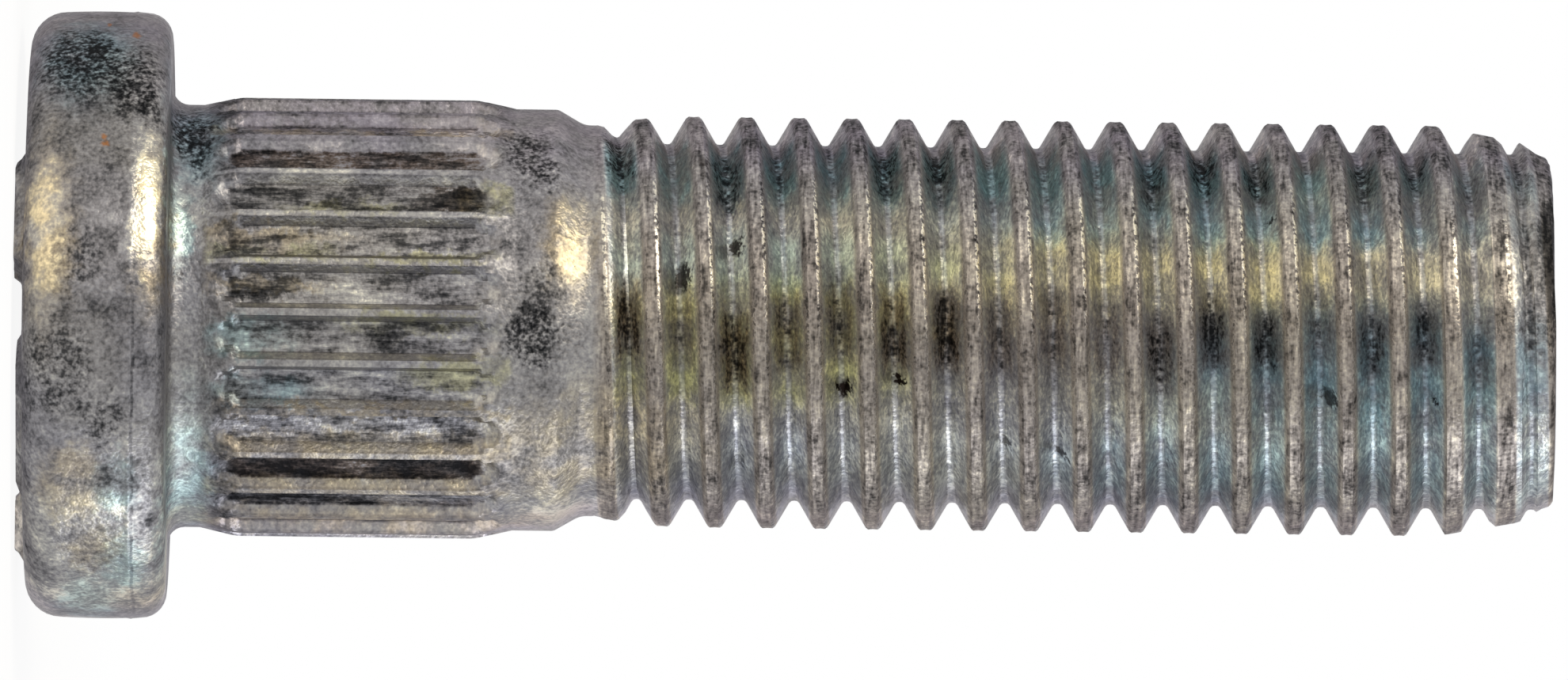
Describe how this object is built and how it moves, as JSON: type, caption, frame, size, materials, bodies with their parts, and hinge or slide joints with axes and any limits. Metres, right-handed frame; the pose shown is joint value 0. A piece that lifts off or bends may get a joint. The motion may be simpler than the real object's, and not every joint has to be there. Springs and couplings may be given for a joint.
{
  "type": "wheel stud",
  "caption": "Press-in wheel stud: a round flat head, a straight-knurled shank with a plain collar, and a right-hand metric thread with a chamfered tip.",
  "frame": {"origin": "on the stud's axis, in the plane of the raised marks that the head stands on", "axes": "+Z along the stud's axis, from the head to the threaded tip; +X through the first raised mark of the head"},
  "size_m": [0.0173, 0.0172, 0.0439],
  "materials": {
    "zinc_plated_steel": "zinc plated, satin, with a faint yellow and blue chromate tint"
  },
  "bodies": {
    "root": {"wheel_stud": "zinc_plated_steel"}
  },
  "joints": []
}
